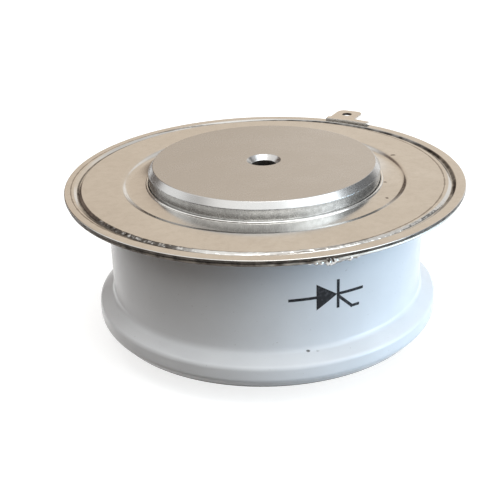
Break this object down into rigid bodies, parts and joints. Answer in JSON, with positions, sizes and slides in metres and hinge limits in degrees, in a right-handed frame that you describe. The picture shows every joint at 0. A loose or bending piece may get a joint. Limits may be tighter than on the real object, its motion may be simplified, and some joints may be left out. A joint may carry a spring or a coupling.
{
  "type": "disc thyristor",
  "caption": "Press-pack disc thyristor: white glazed ceramic ring with one rounded shed, nickel-plated contact poles with locating holes, a welded rim and small terminal tabs.",
  "frame": {"origin": "centre of the anode contact face, at the mouth of its locating hole", "axes": "+Z along the capsule's axis from the anode face to the cathode face, +Y towards the gate lead"},
  "size_m": [0.0584, 0.0634, 0.0265],
  "materials": {
    "pole_nickel": "fine turned nickel plate",
    "flange_nickel": "satin nickel sheet",
    "glazed_alumina": "glossy white glaze",
    "molybdenum": "ground metal",
    "silicon": "polished dark grey",
    "silicone_rubber": "soft satin",
    "white_plastic": "matte",
    "gold_plate": "bright gold plate",
    "spring_steel": "drawn wire",
    "silver_wire": "bright drawn wire",
    "terminal_nickel": "satin nickel sheet"
  },
  "bodies": {
    "root": {"cathode_pole": "pole_nickel", "cathode_flange": "flange_nickel", "weld_flange": "flange_nickel", "ceramic_ring": "glazed_alumina", "anode_flange": "flange_nickel", "anode_pole": "pole_nickel", "anode_disc": "molybdenum", "silicon_wafer": "silicon", "cathode_disc": "molybdenum", "edge_seal": "silicone_rubber", "locating_ring": "white_plastic", "gate_bush": "white_plastic", "gate_pin": "gold_plate", "gate_spring": "spring_steel", "gate_wire": "silver_wire", "gate_sleeve": "white_plastic", "gate_tube": "terminal_nickel", "gate_terminal": "terminal_nickel", "cathode_terminal": "terminal_nickel"}
  },
  "joints": []
}
